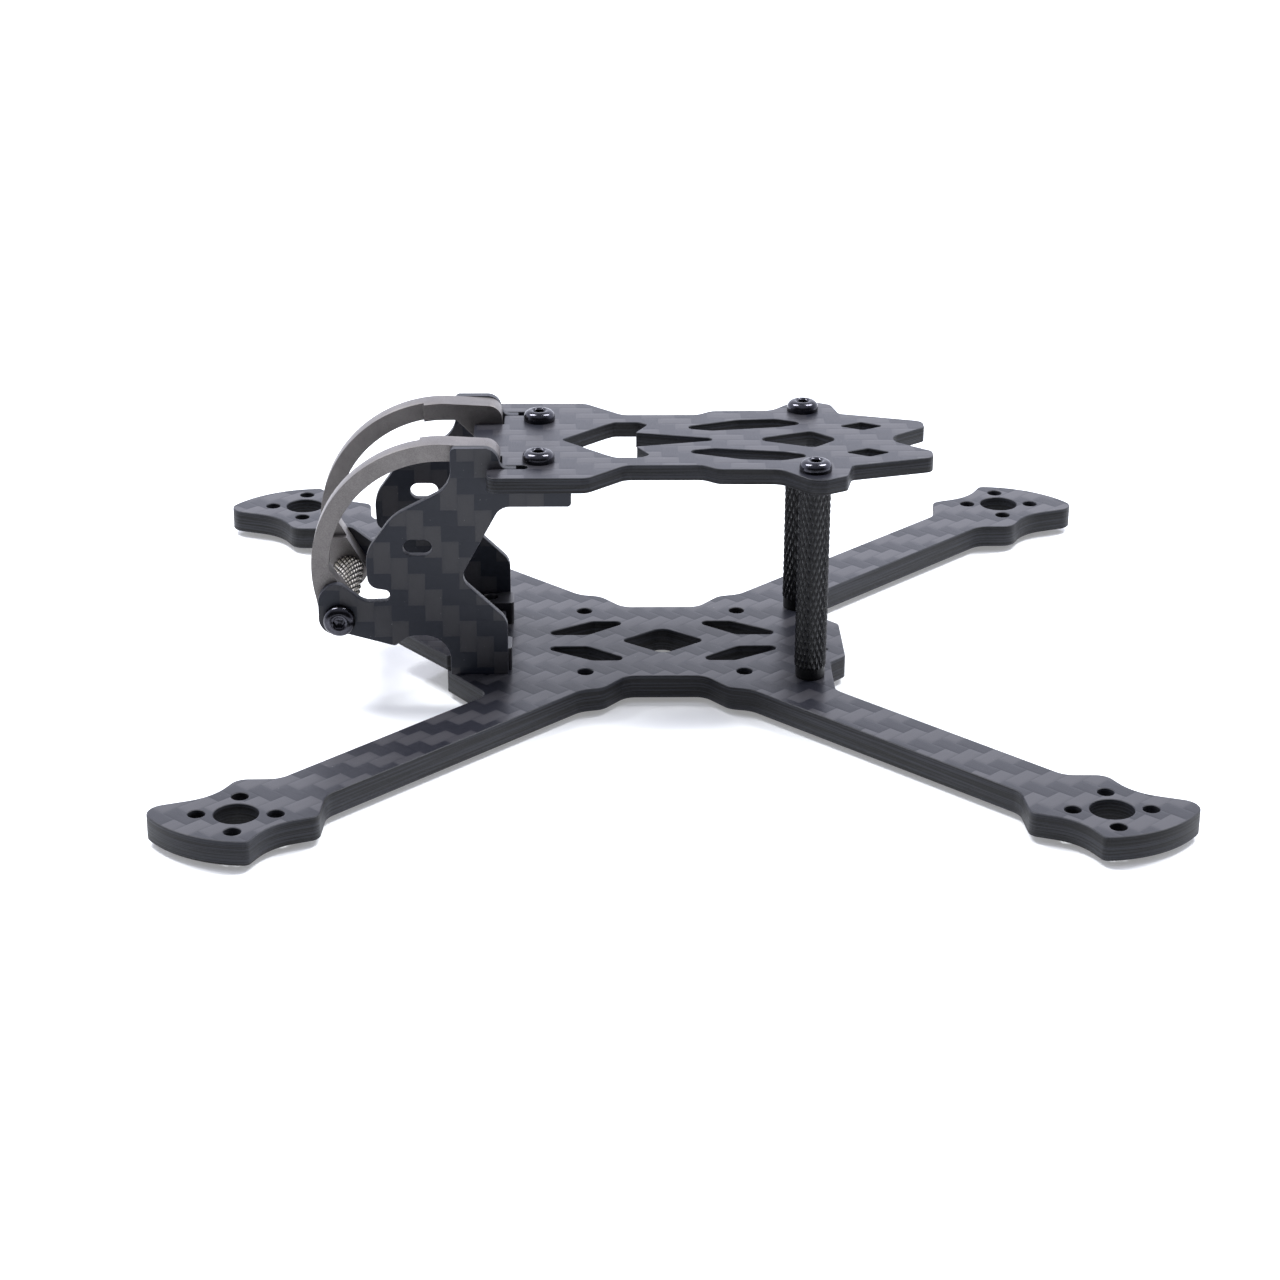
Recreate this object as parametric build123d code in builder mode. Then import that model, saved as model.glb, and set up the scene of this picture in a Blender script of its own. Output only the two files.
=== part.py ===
from build123d import *
import os
from math import sqrt

# Bare airframe of a small racing quadcopter: a cut base plate with four arms, a top plate on
# two rear standoffs, and a camera bay of two side plates guarded by two metal arcs.
# Millimetres. +X is forward, +Y is left, +Z is up. The origin is the middle of the motor
# square, on the surface that the frame stands on.

# ---------------------------------------------------------------- driving dimensions
motor_spacing = 99.6            # side of the square through the four motor centres
motor_pcd = 9.0                 # motor bolt circle
motor_screw_d = 2.0
motor_bore_d = 5.2              # clearance for the motor shaft and its clip
arm_width = 7.3
stack_spacing = 20.0            # flight controller hole square
stack_hole_d = 2.0

base_thickness = 3.0
top_thickness = 2.0
side_thickness = 1.2
nose_thickness = 2.0
deck_height = 25.3              # clear height from the base plate to the top plate

bay_width = 19.0                # inside width between the camera side plates
standoff_x = -18.1
standoff_y = 11.4
standoff_d = 4.0
standoff_collar_d = 3.7         # plain turned end below the knurl
standoff_collar = 1.5

guard_center_x = 27.7           # the guard arcs are struck from this line
guard_radius = 16.2
guard_rise = 2.7                # how far the arcs stand over the top plate
guard_depth = 2.2               # radial width of an arc
guard_thickness = 2.5           # across the arc in its slim stretch
guard_step = 0.9                # how much thicker its two ends are
pivot_x = 40.5                  # cross standoff and its screws
pivot_h = 7.5
pivot_d = 4.0

block_length = 6.0
block_width = 4.0
block_height = 3.0
block_chamfer = 0.3
lower_block_x = 22.2
upper_block_x = 15.7
lug_wall = 3.4                  # top plate outboard of its side plate slots
block_inset = 1.8               # screw line of a block, in from the side plate

screw_d = 1.9                   # M2 shank
thread_reach = 4.0              # how far a screw enters its threaded piece
button_head_d = 4.0
button_head_h = 1.3
button_dome_r = 0.95
low_head_d = 3.6
low_head_h = 0.8                # the heads that the frame stands on
low_edge_r = 0.3
hex_across_flats = 1.3
hex_depth = 0.75

# ---------------------------------------------------------------- clearances
hole_play = 0.1                 # plate hole over screw shank
thread_play = 0.02              # tapped hole over screw shank
slot_play = 0.1                 # plate slot around what stands in it
heel_play = 0.2                 # plate slot behind a guard arc's heel
tongue_play = 1.4               # plate slot behind a side plate's tongue
bay_play = 0.1                  # nose plate between the side plates
tip_gap = 0.4                   # screw tip below the top of a lower block

# ---------------------------------------------------------------- derived places
base_top = low_head_h + base_thickness
top_under = base_top + deck_height
top_face = top_under + top_thickness
guard_center_h = deck_height + top_thickness + guard_rise - guard_radius
motor_offset = motor_spacing / 2
arm_side = arm_width / sqrt(2)              # |x| minus |y| along the edge of a diagonal arm
bay_half = bay_width / 2
side_outer = bay_half + side_thickness
guard_end = guard_thickness + guard_step
guard_inner_face = bay_half - guard_end
guard_inner_r = guard_radius - guard_depth
block_y = bay_half - block_width / 2
block_screw_y = bay_half - block_inset
plate_hole_d = screw_d + hole_play
tapped_d = screw_d + thread_play


def outline(corners):
    """A closed outline through (x, y, corner radius) triples."""
    FilletPolyline(*[c[:2] for c in corners], radius=[c[2] for c in corners], close=True)


def both_sides(half):
    """The whole loop of an outline that is given on its left half, front to rear."""
    return half + [(x, -y, r) for x, y, r in reversed(half) if y > 0]


def cut_window(corners):
    """Cut a closed window out of the sketch in hand."""
    with BuildLine() as border:
        outline(corners)
    make_face(border.edges(), mode=Mode.SUBTRACT)


# ---------------------------------------------------------------- base plate with arms
# Motor pad: origin at the motor centre, x outward along the arm, +y on the pad's inner side.
pad_start = -12.0
inner_shoulder = -10.2          # where the arm's flanks start to widen into the pad
outer_shoulder = -9.4
pad_waist = -0.9                # the pad is narrowest just inside the motor centre
pad_end = 9.5                   # both flanks run past the tip, which the nose circle cuts
nose_circle = (-6.7, -3.6)
nose_circle_r = 14.5
pad_tip_r = 2.2                 # rounding of the outer tip
pad_heel_r = 0.9                # rounding of the tip on the inner side
with BuildSketch() as motor_pad:
    with BuildLine():
        outline([
            (pad_start, arm_width / 2, 0), (inner_shoulder, arm_width / 2, 3.0),
            (-6.1, 7.2, 1.4), (pad_waist, 4.9, 7.0), (pad_end, 8.4, 0),
            (pad_end, -10.3, 0), (pad_waist, -5.4, 7.0), (-5.9, -7.05, 2.2),
            (outer_shoulder, -arm_width / 2, 3.0), (pad_start, -arm_width / 2, 0)])
    make_face()
    with Locations(nose_circle):
        Circle(nose_circle_r, mode=Mode.INTERSECT)
    fillet(motor_pad.vertices().sort_by(Axis.Y)[0], pad_tip_r)
    fillet(motor_pad.vertices().sort_by(lambda corner: corner.X + corner.Y)[-1], pad_heel_r)
    Circle(motor_bore_d / 2, mode=Mode.SUBTRACT)
    with Locations(Rot(0, 0, 45)):
        with PolarLocations(motor_pcd / 2, 4):
            Circle(motor_screw_d / 2, mode=Mode.SUBTRACT)

with BuildSketch() as four_pads:
    with Locations(Pos(motor_offset, motor_offset) * Rot(0, 0, 45)):
        add(motor_pad.sketch)
    mirror(about=Plane.YZ)
    mirror(about=Plane.XZ)

arm_root = motor_offset + (pad_start + 1.0) / sqrt(2)       # arm ends inside the pad
nose_x = 27.3
nose_inset = 0.3                # nose corners, inboard of the side plates
rear_x = 21.0
body_half = [
    (nose_x, bay_half - nose_inset, 0.8),
    (22.0, 22.0 - arm_side, 1.8),
    (arm_root + arm_side / 2, arm_root - arm_side / 2, 0),
    (arm_root - arm_side / 2, arm_root + arm_side / 2, 0),
    (10.6, 10.6 + arm_side, 3.5),
    (7.8, 15.1, 2.5),
    (4.9, 11.4, 2.5),
    (-4.9, 11.4, 2.5),
    (-7.8, 15.1, 2.5),
    (-10.6, 10.6 + arm_side, 3.5),
    (-arm_root + arm_side / 2, arm_root + arm_side / 2, 0),
    (-arm_root - arm_side / 2, arm_root - arm_side / 2, 0),
    (-rear_x, rear_x - arm_side, 1.8),
    (-rear_x, 7.4, 1.0),
    (-rear_x - 2.1, 5.3, 1.0)]

with BuildPart() as base_plate:
    with BuildSketch(Plane.XY.offset(low_head_h)):
        with BuildLine():
            outline(both_sides(body_half))
        make_face()
        add(four_pads.sketch)
        # lightening windows: a centre diamond and four leaning slots
        cut_window([(5.4, 0, 0.7), (0, 4.2, 1.8), (-5.4, 0, 0.7), (0, -4.2, 1.8)])
        for end in (1, -1):
            for side in (1, -1):
                cut_window([
                    (end * 16.1, side * 1.92, 0.7), (end * 9.6, side * 1.92, 1.5),
                    (end * 4.0, side * 6.4, 0.7), (end * 9.1, side * 6.4, 1.5)])
        # strap eyes in the rear tab
        for side in (1, -1):
            cut_window([
                (-17.2, side * 3.1, 0.3), (-19.3, side * 4.1, 0.4),
                (-21.4, side * 3.1, 0.3), (-19.3, side * 2.1, 0.4)])
        with GridLocations(stack_spacing, stack_spacing, 2, 2):
            Circle(stack_hole_d / 2, mode=Mode.SUBTRACT)
        with Locations((standoff_x, standoff_y), (standoff_x, -standoff_y),
                       (lower_block_x, block_screw_y), (lower_block_x, -block_screw_y)):
            Circle(plate_hole_d / 2, mode=Mode.SUBTRACT)
    extrude(amount=base_thickness)
base_plate.part.label = "base_plate"

# ---------------------------------------------------------------- nose plate
# A small plate on the base, between the side plates, with a pointed front.
nose_side = bay_half - bay_play
nose_notch_x = lower_block_x + block_length / 2 + bay_play      # it is notched round the blocks
nose_notch_y = bay_half - block_width - bay_play
nose_rear_x = lower_block_x - block_length / 2 + 1.0
with BuildPart() as nose_plate:
    with BuildSketch(Plane.XY.offset(base_top)):
        with BuildLine():
            outline(both_sides([
                (34.6, 0, 1.5),
                (nose_x, nose_side, 0.4),
                (nose_notch_x, nose_side, 0.2),
                (nose_notch_x, nose_notch_y, 0.2),
                (nose_rear_x, nose_notch_y, 0.5)]))
        make_face()
    extrude(amount=nose_thickness)
nose_plate.part.label = "nose_plate"

# ---------------------------------------------------------------- top plate
tongue_rear_x = 18.4            # rear end of the side plate's tongue in the top plate
guard_heel_x = 20.4             # upright rear face of a guard arc's heel
slot_inner = guard_inner_face - slot_play
slot_outer = side_outer + slot_play
slot_rear_x = tongue_rear_x - tongue_play
lug_y = slot_outer + lug_wall
slot_round = side_thickness / 2
heel_rear_x = guard_heel_x - heel_play
relief_r = 0.45                 # relief hole in the inner corner behind a guard arc's heel
top_half = [
    (23.9, slot_inner, 0.6),
    (heel_rear_x, slot_inner, 0.1),
    (heel_rear_x, bay_half - slot_play, 0.2),
    (slot_rear_x, bay_half - slot_play, slot_round),
    (slot_rear_x, slot_outer, slot_round),
    (22.0, slot_outer, 0.5),
    (22.0, lug_y, 1.3),
    (9.8, lug_y, 2.0),
    (5.1, 9.6, 2.0),
    (-4.5, 9.6, 2.0),
    (-6.3, 11.1, 2.0),
    (-14.0, 11.2, 2.5),
    (-18.0, 15.7, 2.3),
    (-21.9, 13.5, 1.0),
    (-22.7, 9.9, 0.8),
    (-33.1, 6.9, 1.3),
    (-33.1, 4.5, 0.8),
    (-27.5, 0, 2.0)]

with BuildPart() as top_plate:
    with BuildSketch(Plane.XY.offset(top_under)):
        with BuildLine():
            outline(both_sides(top_half))
        make_face()
        # arrow-shaped window over the stack
        cut_window(both_sides([
            (12.9, 0, 0.5), (7.4, 5.6, 1.5), (6.2, 6.6, 1.0), (3.1, 6.6, 1.0),
            (2.0, 5.7, 0.5), (3.6, 2.6, 0.2), (-7.9, 0, 0.55)]))
        # two long leaning slots, the strap diamond and two eyes behind it
        for side in (1, -1):
            cut_window([
                (-1.5, side * 4.45, 0.7), (-6.1, side * 3.35, 2.0), (-14.8, side * 4.7, 3.0),
                (-18.4, side * 6.15, 0.7), (-14.4, side * 7.8, 2.0), (-9.5, side * 7.45, 3.0)])
            cut_window([
                (-22.2, side * 4.98, 0.3), (-25.2, side * 6.5, 0.7),
                (-27.9, side * 4.98, 0.3), (-25.2, side * 3.46, 0.7)])
        cut_window(both_sides([(-10.9, 0, 0.8), (-18.6, 3.1, 1.2), (-21.75, 0, 1.1)]))
        with Locations((standoff_x, standoff_y), (standoff_x, -standoff_y),
                       (upper_block_x, block_screw_y), (upper_block_x, -block_screw_y)):
            Circle(plate_hole_d / 2, mode=Mode.SUBTRACT)
        for side in (1, -1):
            with Locations((heel_rear_x - relief_r / 3, side * (slot_inner + relief_r))):
                Circle(relief_r, mode=Mode.SUBTRACT)
    extrude(amount=top_thickness)
top_plate.part.label = "top_plate"

# ---------------------------------------------------------------- camera side plates
# Outline in the XZ plane, heights above the base plate. It stands on the base, carries the
# camera in a lobe, holds the guard at a front ear and ends in a tongue in the top plate.
shelf_h = deck_height - block_height
hump_rise = 2.6                 # how far a side plate's hump stands over the top plate
hump_h = deck_height + top_thickness + hump_rise
side_corners = [
    (26.8, 0, 0), (19.65, 0, 0), (19.65, 7.3, 2.5), (25.5, 12.9, 1.8), (20.4, shelf_h, 2.0),
    (11.7, shelf_h, 0.5), (11.7, deck_height, 0), (tongue_rear_x, deck_height, 0),
    (tongue_rear_x, deck_height + top_thickness, 0.1),
    (20.2, deck_height + top_thickness, 1.0), (21.0, hump_h, 1.8),
    (26.45, hump_h, 0.6), (26.45, 24.9, 3.5), (33.6, 21.15, 6.0), (37.1, 16.3, 4.5),
    (36.85, 11.75, 1.5), (34.2, 11.3, 0.65), (34.2, 9.9, 0.65), (37.4, 9.8, 2.0),
    (40.2, 12.1, 1.2), (43.1, 12.0, 2.4), (43.1, pivot_h - 2.2, 2.2), (39.5, pivot_h - 2.0, 2.0),
    (33.7, 3.9, 0.6), (31.9, 5.25, 2.0), (26.8, 5.25, 3.2)]
camera_slot_x = 30.65
camera_slot_h = 17.0
camera_slot_length = 3.6
camera_slot_width = 2.1


def base_point(x, h):
    """A point of an upright outline, from its height above the base plate."""
    return (x, base_top + h)


def upright(y):
    """The XZ plane at a given y; its own normal is -Y."""
    return Plane.XZ.offset(-y)


def make_side_plate(side):
    with BuildPart() as plate:
        with BuildSketch(upright(side * bay_half)):
            with BuildLine():
                outline([(*base_point(x, h), r) for x, h, r in side_corners])
            make_face()
            with Locations(base_point(camera_slot_x, camera_slot_h)):
                SlotOverall(camera_slot_length, camera_slot_width, mode=Mode.SUBTRACT)
            with Locations(base_point(pivot_x, pivot_h)):
                Circle(plate_hole_d / 2, mode=Mode.SUBTRACT)
        extrude(amount=-side * side_thickness)
    return plate.part


# ---------------------------------------------------------------- guard arcs
# Struck from one centre line, with an upright heel standing in the top plate's slot and a
# boss around the cross standoff's screw. Both ends are thicker, stepped on the inner side.
guard_end_r = 2.5
heel_drop = 0.3                 # the heel's flat top, below the arc's highest line
throat_offset = (-0.35, 3.6)    # where the boss runs into the arc's inner edge
upper_step_x = 30.3
lower_step_h = pivot_h + 4.4


def guard_profile():
    """Face of a guard arc in the sketch in hand."""
    cx, cz = base_point(guard_center_x, guard_center_h)
    px, pz = base_point(pivot_x, pivot_h)
    heel_top = cz + guard_radius - heel_drop
    heel_low = top_under
    heel_r = 1.8
    web_low_x = 23.8
    web_high_x = 26.2
    with BuildLine() as border:
        rim = CenterArc((cx, cz), guard_radius, 90, -104)
        boss = ThreePointArc(
            (px + guard_end_r, pz), (px, pz - guard_end_r), (px - guard_end_r, pz))
        Line(rim @ 1, boss @ 0)
        bore = CenterArc((cx, cz), guard_inner_r, 90, -90)
        ThreePointArc(boss @ 1, (px + throat_offset[0], pz + throat_offset[1]), bore @ 1)
        Polyline(bore @ 0, (web_high_x, cz + guard_inner_r),
                 (web_low_x, cz + guard_inner_r - (web_high_x - web_low_x)),
                 (web_low_x, heel_low), (guard_heel_x, heel_low),
                 (guard_heel_x, heel_top - heel_r))
        ThreePointArc(
            (guard_heel_x, heel_top - heel_r),
            (guard_heel_x + heel_r * (1 - sqrt(0.5)), heel_top - heel_r * (1 - sqrt(0.5))),
            (guard_heel_x + heel_r, heel_top))
        Line((guard_heel_x + heel_r, heel_top), rim @ 0)
    make_face(border.edges())


def make_guard_arc(side):
    with BuildPart() as arc:
        with BuildSketch(upright(side * bay_half)):
            guard_profile()
        extrude(amount=side * guard_end)
        # the slim middle stretch: cut back the inner face between the two steps
        mid_x, mid_z = base_point(upper_step_x, lower_step_h)
        with BuildSketch(upright(side * guard_inner_face)):
            with Locations((mid_x, mid_z)):
                Rectangle(2 * guard_radius, 2 * guard_radius, align=(Align.MIN, Align.MIN))
        extrude(amount=-side * guard_step, mode=Mode.SUBTRACT)
        with BuildSketch(upright(side * bay_half)):
            with Locations(base_point(pivot_x, pivot_h)):
                Circle(plate_hole_d / 2)
        extrude(amount=side * guard_end, mode=Mode.SUBTRACT)
    return arc.part


# ---------------------------------------------------------------- standoffs and blocks
def make_rear_standoff(side):
    with BuildPart() as post:
        with BuildSketch(Plane.XY.offset(base_top)):
            with Locations((standoff_x, side * standoff_y)):
                Circle(standoff_collar_d / 2)
        extrude(amount=standoff_collar)
        with BuildSketch(Plane.XY.offset(base_top + standoff_collar)):
            with Locations((standoff_x, side * standoff_y)):
                Circle(standoff_d / 2)
        extrude(amount=deck_height - standoff_collar)
        with BuildSketch(Plane.XY.offset(base_top)):
            with Locations((standoff_x, side * standoff_y)):
                Circle(tapped_d / 2)
        extrude(amount=deck_height, mode=Mode.SUBTRACT)
    return post.part


with BuildPart() as front_cross_standoff:
    with BuildSketch(upright(-guard_inner_face)):
        with Locations(base_point(pivot_x, pivot_h)):
            Circle(pivot_d / 2)
            Circle(tapped_d / 2, mode=Mode.SUBTRACT)
    extrude(amount=-2 * guard_inner_face)
front_cross_standoff.part.label = "front_cross_standoff"


def make_block(side, x, z):
    """Threaded block against the inside of a side plate; z is its underside."""
    with BuildPart() as block:
        with BuildSketch(Plane.XY.offset(z)):
            with Locations((x, side * block_y)):
                Rectangle(block_length, block_width)
        extrude(amount=block_height)
        chamfer(block.edges().filter_by(Axis.Z), block_chamfer)
        with BuildSketch(Plane.XY.offset(z)):
            with Locations((x, side * block_screw_y)):
                Circle(tapped_d / 2)
        extrude(amount=block_height, mode=Mode.SUBTRACT)
    return block.part


# ---------------------------------------------------------------- screws
def make_screw(head_plane, grip, head_d, head_h, dome, reach=thread_reach):
    """Screw on a plane whose normal points out of the head; grip is what it clamps."""
    with BuildPart() as screw:
        with BuildSketch(head_plane):
            Circle(screw_d / 2)
        extrude(amount=-(grip + reach))
        with BuildSketch(head_plane):
            Circle(head_d / 2)
        extrude(amount=head_h)
        rim = screw.edges().filter_by(GeomType.CIRCLE).group_by(SortBy.RADIUS)[-1]
        crown = rim.sort_by(lambda edge: head_plane.to_local_coords(edge.center()).Z)[-1]
        fillet(crown, dome)
        with BuildSketch(head_plane.offset(head_h - hex_depth)):
            RegularPolygon(hex_across_flats / 2, 6, major_radius=False)
        extrude(amount=hex_depth, mode=Mode.SUBTRACT)
    return screw.part


def up_plane(x, y, z):
    return Plane(origin=(x, y, z), z_dir=(0, 0, 1))


def down_plane(x, y, z):
    return Plane(origin=(x, y, z), z_dir=(0, 0, -1))


button = (button_head_d, button_head_h, button_dome_r)
low = (low_head_d, low_head_h, low_edge_r)

parts = [base_plate.part, nose_plate.part, top_plate.part, front_cross_standoff.part]
for side, hand in ((1, "left"), (-1, "right")):
    pivot_plane = Plane(
        origin=(pivot_x, side * side_outer, base_top + pivot_h), x_dir=(1, 0, 0),
        z_dir=(0, side, 0))
    pieces = {
        "side_plate": make_side_plate(side),
        "guard_arc": make_guard_arc(side),
        "rear_standoff": make_rear_standoff(side),
        "lower_block": make_block(side, lower_block_x, base_top),
        "upper_block": make_block(side, upper_block_x, top_under - block_height),
        "rear_top_screw": make_screw(
            up_plane(standoff_x, side * standoff_y, top_face), top_thickness, *button),
        "front_top_screw": make_screw(
            up_plane(upper_block_x, side * block_screw_y, top_face), top_thickness, *button,
            reach=block_height),
        "guard_screw": make_screw(pivot_plane, side_thickness + guard_end, *button),
        "rear_base_screw": make_screw(
            down_plane(standoff_x, side * standoff_y, low_head_h), base_thickness, *low),
        "front_base_screw": make_screw(
            down_plane(lower_block_x, side * block_screw_y, low_head_h), base_thickness, *low,
            reach=block_height - tip_gap)}
    for piece, solid in pieces.items():
        solid.label = f"{hand}_{piece}"
        parts.append(solid)

os.makedirs("parts", exist_ok=True)
for part in parts:
    export_step(part, f"parts/{part.label}.step")
    print(part.label, round(part.volume, 2))
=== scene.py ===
import bpy
import bmesh
import math
from mathutils import Matrix, Vector


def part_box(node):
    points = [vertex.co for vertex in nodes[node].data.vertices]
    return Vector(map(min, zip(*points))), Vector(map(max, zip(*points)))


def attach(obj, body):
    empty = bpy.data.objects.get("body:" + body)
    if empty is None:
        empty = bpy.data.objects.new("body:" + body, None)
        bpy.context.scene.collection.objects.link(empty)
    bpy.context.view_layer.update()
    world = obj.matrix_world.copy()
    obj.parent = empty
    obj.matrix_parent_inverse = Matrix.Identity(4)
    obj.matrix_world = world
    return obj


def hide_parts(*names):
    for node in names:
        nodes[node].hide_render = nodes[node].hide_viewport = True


# The frame, the floor and the lights are in metres. Sizes on the object are in millimetres.
MM = 0.001
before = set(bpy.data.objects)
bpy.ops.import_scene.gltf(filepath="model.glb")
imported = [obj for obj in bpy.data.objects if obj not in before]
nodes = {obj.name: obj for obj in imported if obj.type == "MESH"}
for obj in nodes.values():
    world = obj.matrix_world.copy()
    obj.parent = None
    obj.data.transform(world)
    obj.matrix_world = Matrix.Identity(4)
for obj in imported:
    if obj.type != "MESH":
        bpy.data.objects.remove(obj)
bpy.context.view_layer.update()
scene = bpy.context.scene


def middle_of(node):
    """Middle, low corner and high corner of a CAD node's box."""
    low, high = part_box(node)
    return (low + high) / 2, low, high


# ------------------------------------------------------------------ driving dimensions
BASE_TOP_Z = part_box("base_plate")[1].z / MM
MOTOR = 49.8                  # motor centre, forward and to the side of the middle
MOTOR_BORE_R = 2.6
MOTOR_SCREW_CIRCLE = 4.5      # radius of the circle that the four motor screws lie on
SCREW_HOLE_R = 1.0
STACK = 10.0                  # stack hole, forward and to the side of the middle
STANDOFF = (-18.1, 11.4)
LOWER_BLOCK_SCREW = (22.2, 7.7)
UPPER_BLOCK_SCREW = (15.7, 7.7)
GUARD_SCREW = (40.5, 7.5)     # forward, and above the base plate
CAMERA_SLOT = (30.65, 17.0)   # forward, and above the base plate
CAMERA_SLOT_RUN = 3.6
CAMERA_SLOT_WIDTH = 2.1
TAPPED_R = 0.96               # tapped bore of a standoff


# ------------------------------------------------------------------ shader helpers
class Nodes:
    """Short-hand for building one node tree."""

    def __init__(self, name):
        self.mat = bpy.data.materials.new(name)
        self.mat.use_nodes = True
        self.tree = self.mat.node_tree
        self.bsdf = next(n for n in self.tree.nodes if n.type == "BSDF_PRINCIPLED")

    def put(self, target, value):
        if hasattr(value, "is_linked"):
            self.tree.links.new(value, target)
        else:
            target.default_value = value

    def math(self, op, a, b=0.0):
        n = self.tree.nodes.new("ShaderNodeMath")
        n.operation = op
        self.put(n.inputs[0], a)
        self.put(n.inputs[1], b)
        return n.outputs[0]

    def add(self, a, b):
        return self.math("ADD", a, b)

    def minus(self, a, b):
        return self.math("SUBTRACT", a, b)

    def times(self, a, b):
        return self.math("MULTIPLY", a, b)

    def abs(self, a):
        return self.math("ABSOLUTE", a)

    def around(self, value, middle, amount):
        """A value's distance from its middle, times an amount."""
        return self.times(self.minus(value, middle), amount)

    def xyz(self, source, output):
        """The three parts of a vector that a node gives."""
        n = self.tree.nodes.new(source)
        split = self.tree.nodes.new("ShaderNodeSeparateXYZ")
        self.tree.links.new(n.outputs[output], split.inputs[0])
        return split.outputs

    def object_xyz(self):
        return self.xyz("ShaderNodeTexCoord", "Object")

    def normal_xyz(self):
        return self.xyz("ShaderNodeNewGeometry", "Normal")

    def vector(self, x, y, z):
        n = self.tree.nodes.new("ShaderNodeCombineXYZ")
        for socket, value in zip(n.inputs, (x, y, z)):
            self.put(socket, value)
        return n.outputs[0]

    def noise(self, vector, scale, detail=2.0, rough=0.5):
        n = self.tree.nodes.new("ShaderNodeTexNoise")
        self.put(n.inputs["Vector"], vector)
        self.put(n.inputs["Scale"], scale)
        self.put(n.inputs["Detail"], detail)
        self.put(n.inputs["Roughness"], rough)
        return n.outputs["Fac"]

    def mix(self, fac, a, b):
        """Mix two plain numbers."""
        n = self.tree.nodes.new("ShaderNodeMix")
        self.put(n.inputs[0], fac)
        self.put(n.inputs[2], a)
        self.put(n.inputs[3], b)
        return n.outputs[0]

    def color(self, fac, a, b):
        """Mix two colours."""
        n = self.tree.nodes.new("ShaderNodeMix")
        n.data_type = "RGBA"
        self.put(n.inputs[0], fac)
        self.put(n.inputs[6], (*a, 1.0) if isinstance(a, tuple) else a)
        self.put(n.inputs[7], (*b, 1.0) if isinstance(b, tuple) else b)
        return n.outputs[2]

    def smooth(self, value, low, high):
        """0 below low, 1 above high, and a smooth step between them."""
        n = self.tree.nodes.new("ShaderNodeMapRange")
        n.interpolation_type = "SMOOTHSTEP"
        self.put(n.inputs[0], value)
        self.put(n.inputs[1], low)
        self.put(n.inputs[2], high)
        return n.outputs[0]

    def bump(self, height, distance, strength):
        n = self.tree.nodes.new("ShaderNodeBump")
        self.put(n.inputs["Height"], height)
        self.put(n.inputs["Distance"], distance * MM)
        self.put(n.inputs["Strength"], strength)
        return n.outputs[0]

    def set(self, **values):
        for name, value in values.items():
            self.put(self.bsdf.inputs[name.replace("_", " ")], value)

    def shine(self, level):
        self.bsdf.inputs["Specular IOR Level"].default_value = level


def shade(color, amount):
    """A colour made darker or paler."""
    return tuple(min(1.0, c * amount) for c in color)


# ------------------------------------------------------------------ carbon fibre
TOW = 2.1                     # width of one tow in the weave
PLY = 0.42                    # thickness of one ply
WANDER = 0.22                 # how far a tow strays, in tows
WEAVE_START = (40.74, 40.8)   # tows before the origin, in each direction
WHOLE_WEAVES = 400.0          # any large multiple of four, which keeps the counts positive


def weave(m, a, b, turn, x, y, z, lean):
    """2 x 2 twill over two directions; lean 1 or -1 is the way its diagonals go.

    Gives the height of each tow's crown, its filaments, 1 where the weft is on top, and a
    tone from 0 to about 1, in which the paler weft floats are painted reflection and the darker tow
    sides are painted shade.
    """
    cell = TOW * MM
    along = m.add(m.times(a, math.cos(turn) / cell), m.times(b, math.sin(turn) / cell))
    across = m.minus(m.times(b, math.cos(turn) / cell), m.times(a, math.sin(turn) / cell))
    wander = m.around(m.noise(m.vector(x, y, z), 90.0, 1.0), 0.5, WANDER)
    along = m.add(m.add(along, wander), WEAVE_START[0])
    across = m.add(m.minus(across, wander), WEAVE_START[1])
    i = m.math("FLOOR", along)
    j = m.math("FLOOR", across)
    order = m.add(i, j) if lean > 0 else m.minus(i, j)
    quarter = m.math("MODULO", m.add(order, WHOLE_WEAVES), 4.0)
    weft = m.math("LESS_THAN", quarter, 1.5)
    # place within a float: 0 to 2 along it, 0 to 1 across it
    part_along = m.math("FRACT", along)
    part_across = m.math("FRACT", across)
    odd = m.math("GREATER_THAN", m.math("MODULO", quarter, 2.0), 0.5)
    weft_run = m.add(part_along, odd)
    warp_run = m.add(part_across, odd if lean > 0 else m.minus(1.0, odd))
    run = m.mix(weft, warp_run, weft_run)
    side = m.mix(weft, part_along, part_across)
    crown_side = m.minus(1.0, m.math("POWER", m.abs(m.minus(m.times(side, 2.0), 1.0)), 4.0))
    crown_run = m.minus(1.0, m.math("POWER", m.abs(m.minus(run, 1.0)), 6.0))
    crown = m.times(crown_side, crown_run)
    # filaments run along whichever tow is on top
    fine, long = 22.0, 1.3
    warp_hair = m.noise(m.vector(m.times(along, fine), m.times(across, long), 0.0), 1.0, 3.0, 0.7)
    weft_hair = m.noise(m.vector(m.times(along, long), m.times(across, fine), 3.0), 1.0, 3.0, 0.7)
    hair = m.mix(weft, warp_hair, weft_hair)
    # each float is a little paler or darker than the next
    float_seed = m.vector(m.minus(i, odd), j, m.times(weft, 7.0))
    chance = m.around(m.noise(float_seed, 0.73, 0.0), 0.5, 0.55)
    # weft floats paler than warp floats: painted reflection of the sheen that fibres running one way
    # catch; the chance and filament parts are the weave's own tone
    tone = m.add(m.add(m.times(weft, 0.78), chance), m.around(hair, 0.5, 0.42))
    # darker toward each float's sides and ends: painted shade of the tows' round crowns
    tone = m.add(m.times(tone, m.add(0.72, m.times(crown, 0.28))), 0.02)
    return crown, hair, weft, tone


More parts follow.
